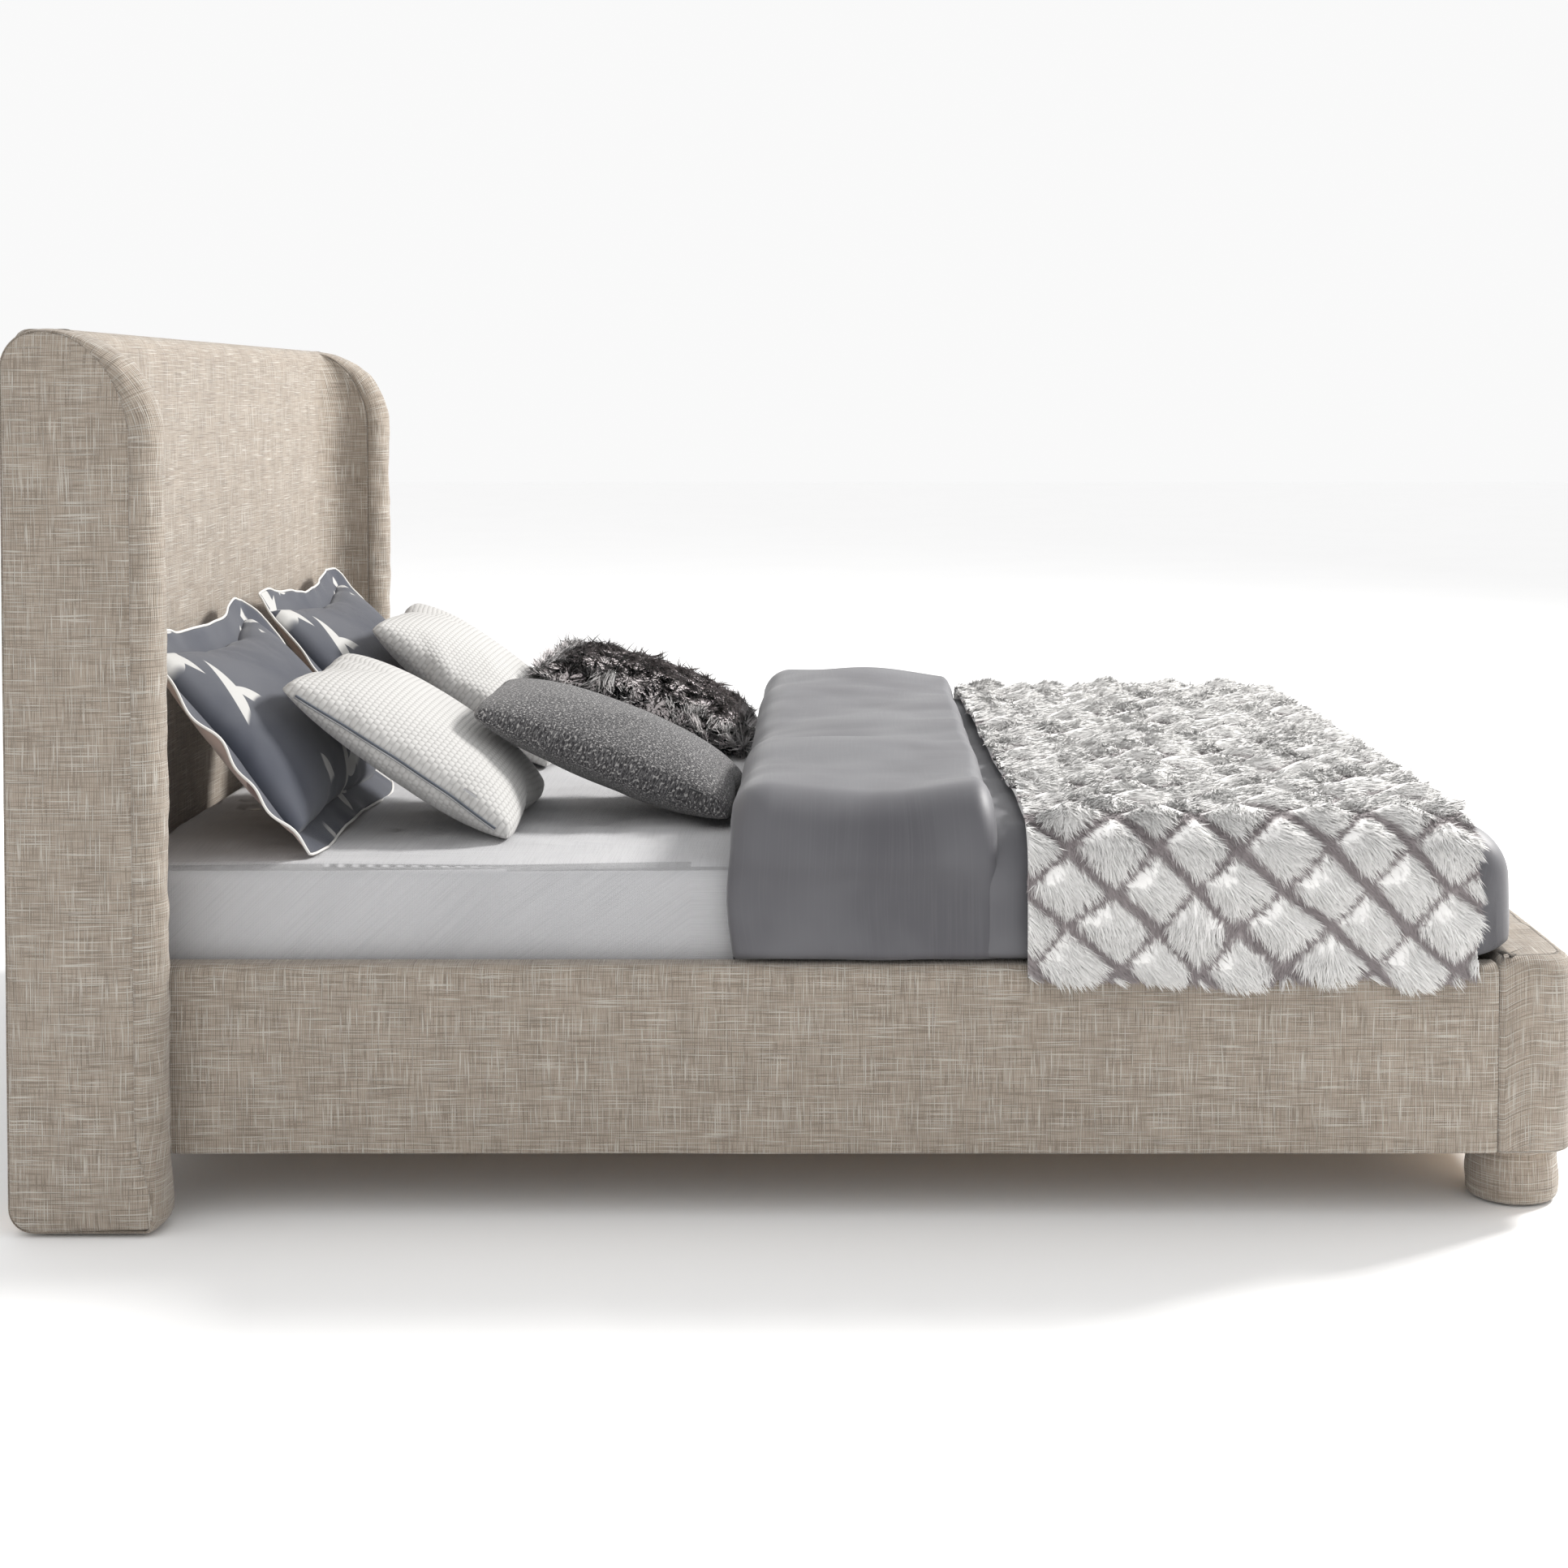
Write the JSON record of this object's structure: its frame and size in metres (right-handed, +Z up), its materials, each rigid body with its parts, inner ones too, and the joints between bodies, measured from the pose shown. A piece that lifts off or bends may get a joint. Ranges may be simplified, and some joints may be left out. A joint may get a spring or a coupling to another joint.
{
  "type": "upholstered headboard bed",
  "caption": "Upholstered bed with a tall winged headboard, padded side rails and footboard on round legs, slatted base, mattress, duvet, throw and pillows.",
  "frame": {"origin": "on the floor under the middle of the bed", "axes": "+Y towards the headboard, +X towards the right-hand side seen from the foot, +Z up"},
  "size_m": [1.8, 2.311, 1.32],
  "materials": {
    "upholstery": "matte",
    "back_cloth": "matte",
    "timber": "matte",
    "plywood": "matte",
    "steel": "satin",
    "insert_metal": "satin",
    "nylon": "matte",
    "webbing": "matte",
    "mattress_ticking": "matte",
    "sheet_linen": "matte",
    "duvet_sateen": "satin",
    "throw_fur": "matte",
    "sham_cotton": "matte",
    "quilted_knit": "matte",
    "tweed": "matte",
    "long_wool": "matte",
    "zip_metal": "satin"
  },
  "bodies": {
    "frame": {"headboard_pad": "upholstery", "wing_pad_left": "upholstery", "wing_pad_right": "upholstery", "headboard_plywood": "plywood", "headboard_posts": "timber", "headboard_battens": "timber", "headboard_bottom_rail": "timber", "headboard_back_cover": "back_cloth", "wing_core_left": "timber", "wing_core_right": "timber", "wing_bolts": "steel", "headboard_glides": "nylon", "rail_board_left": "timber", "rail_board_right": "timber", "rail_cover_left": "upholstery", "rail_cover_right": "upholstery", "slat_ledger_left": "timber", "slat_ledger_right": "timber", "ledger_screws": "steel", "head_brackets": "steel", "foot_brackets": "steel", "head_bracket_bolts": "steel", "foot_bracket_bolts": "steel", "bracket_inserts": "insert_metal", "footboard_rails": "timber", "footboard_blocks": "timber", "footboard_plywood": "plywood", "footboard_cover": "upholstery", "leg_core_left": "timber", "leg_core_right": "timber", "leg_sleeve_left": "upholstery", "leg_sleeve_right": "upholstery", "leg_bolts": "steel", "leg_glides": "nylon", "centre_beam": "timber", "beam_shoes": "steel", "centre_leg_head": "timber", "centre_leg_middle": "timber", "centre_leg_foot": "timber", "centre_leg_bolts": "steel", "slats": "timber", "slat_webbings": "webbing"},
    "leveller_head": {"leveller_head": "nylon"},
    "leveller_middle": {"leveller_middle": "nylon"},
    "leveller_foot": {"leveller_foot": "nylon"},
    "mattress": {"mattress": "mattress_ticking", "fitted_sheet": "sheet_linen"},
    "duvet": {"duvet": "duvet_sateen"},
    "throw": {"fur_throw": "throw_fur"},
    "sham_left": {"sham_left": "sham_cotton"},
    "sham_right": {"sham_right": "sham_cotton"},
    "quilted_left": {"quilted_pillow_left": "quilted_knit", "quilted_zip_pull": "zip_metal"},
    "quilted_right": {"quilted_pillow_right": "quilted_knit"},
    "tweed": {"tweed_pillow": "tweed", "tweed_zip_pull": "nylon"},
    "wool": {"wool_pillow": "long_wool"}
  },
  "joints": [
    {"name": "mattress_lift", "type": "slide", "parent": "frame", "child": "mattress", "axis": [0, 0, 1], "range_m": [0, 0.3]},
    {"name": "duvet_lift", "type": "slide", "parent": "mattress", "child": "duvet", "axis": [0, 0, 1], "range_m": [0, 0.25]},
    {"name": "throw_lift", "type": "slide", "parent": "duvet", "child": "throw", "axis": [0, 0, 1], "range_m": [0, 0.32]},
    {"name": "sham_left_lift", "type": "slide", "parent": "mattress", "child": "sham_left", "axis": [0, 0, 1], "range_m": [0, 0.5]},
    {"name": "quilted_left_lift", "type": "slide", "parent": "sham_left", "child": "quilted_left", "axis": [0, 0, 1], "range_m": [0, 0.4]},
    {"name": "tweed_lift", "type": "slide", "parent": "quilted_left", "child": "tweed", "axis": [0, 0, 1], "range_m": [0, 0.3]},
    {"name": "sham_right_lift", "type": "slide", "parent": "mattress", "child": "sham_right", "axis": [0, 0, 1], "range_m": [0, 0.5]},
    {"name": "quilted_right_lift", "type": "slide", "parent": "sham_right", "child": "quilted_right", "axis": [0, 0, 1], "range_m": [0, 0.4]},
    {"name": "wool_lift", "type": "slide", "parent": "quilted_right", "child": "wool", "axis": [0, 0, 1], "range_m": [0, 0.3]},
    {"name": "leveller_head_screw", "type": "slide", "parent": "frame", "child": "leveller_head", "axis": [0, 0, -1], "range_m": [0, 0.015]},
    {"name": "leveller_middle_screw", "type": "slide", "parent": "frame", "child": "leveller_middle", "axis": [0, 0, -1], "range_m": [0, 0.015]},
    {"name": "leveller_foot_screw", "type": "slide", "parent": "frame", "child": "leveller_foot", "axis": [0, 0, -1], "range_m": [0, 0.015]}
  ]
}
